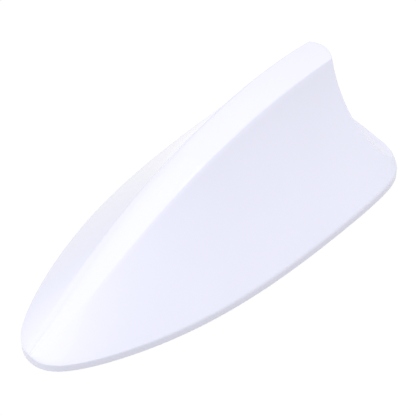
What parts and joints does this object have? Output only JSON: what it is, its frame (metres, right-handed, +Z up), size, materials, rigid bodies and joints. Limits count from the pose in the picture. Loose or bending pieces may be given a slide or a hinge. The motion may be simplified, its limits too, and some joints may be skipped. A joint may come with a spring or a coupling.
{
  "type": "shark fin aerial",
  "caption": "Fin-shaped car roof aerial: glossy hollow cover with a flat spine band and a lip, closed by a screwed floor on a stick-on foam pad, with an amplified coil aerial inside.",
  "frame": {"origin": "centre of the underside of the stick-on pad, on the surface that the fin stands on", "axes": "+X from nose to tail, +Y across to the far side of the picture, +Z up"},
  "size_m": [0.165, 0.0746, 0.0577],
  "materials": {
    "fin_white": "glossy pale lavender white moulding",
    "floor_black": "fine moulded grain",
    "seal_rubber": "matt",
    "pad_foam": "closed cell foam",
    "screw_steel": "zinc plated",
    "grommet_rubber": "matt",
    "board_green": "solder mask",
    "socket_brass": "bright",
    "socket_white": "satin",
    "can_tin": "bright tin",
    "chip_black": "matt moulding",
    "capacitor_tan": "fired ceramic with tinned ends",
    "resistor_black": "glazed ceramic with tinned ends",
    "ferrite_grey": "pressed ferrite",
    "former_ivory": "satin",
    "coil_copper": "enamelled copper",
    "plate_tin": "tinned sheet"
  },
  "bodies": {
    "root": {"fin_cover": "fin_white", "base_plate": "floor_black", "base_seal": "seal_rubber", "adhesive_pad": "pad_foam", "cover_screws": "screw_steel", "cable_grommet": "grommet_rubber", "circuit_board": "board_green", "board_screws": "screw_steel", "socket_shell": "socket_brass", "socket_insulator": "socket_white", "socket_pin": "socket_brass", "shield_can": "can_tin", "amplifier_chip": "chip_black", "chip_capacitors": "capacitor_tan", "chip_resistors": "resistor_black", "chip_inductors": "ferrite_grey", "coil_former": "former_ivory", "antenna_coil": "coil_copper", "top_load_plate": "plate_tin", "hat_screw": "screw_steel"}
  },
  "joints": []
}
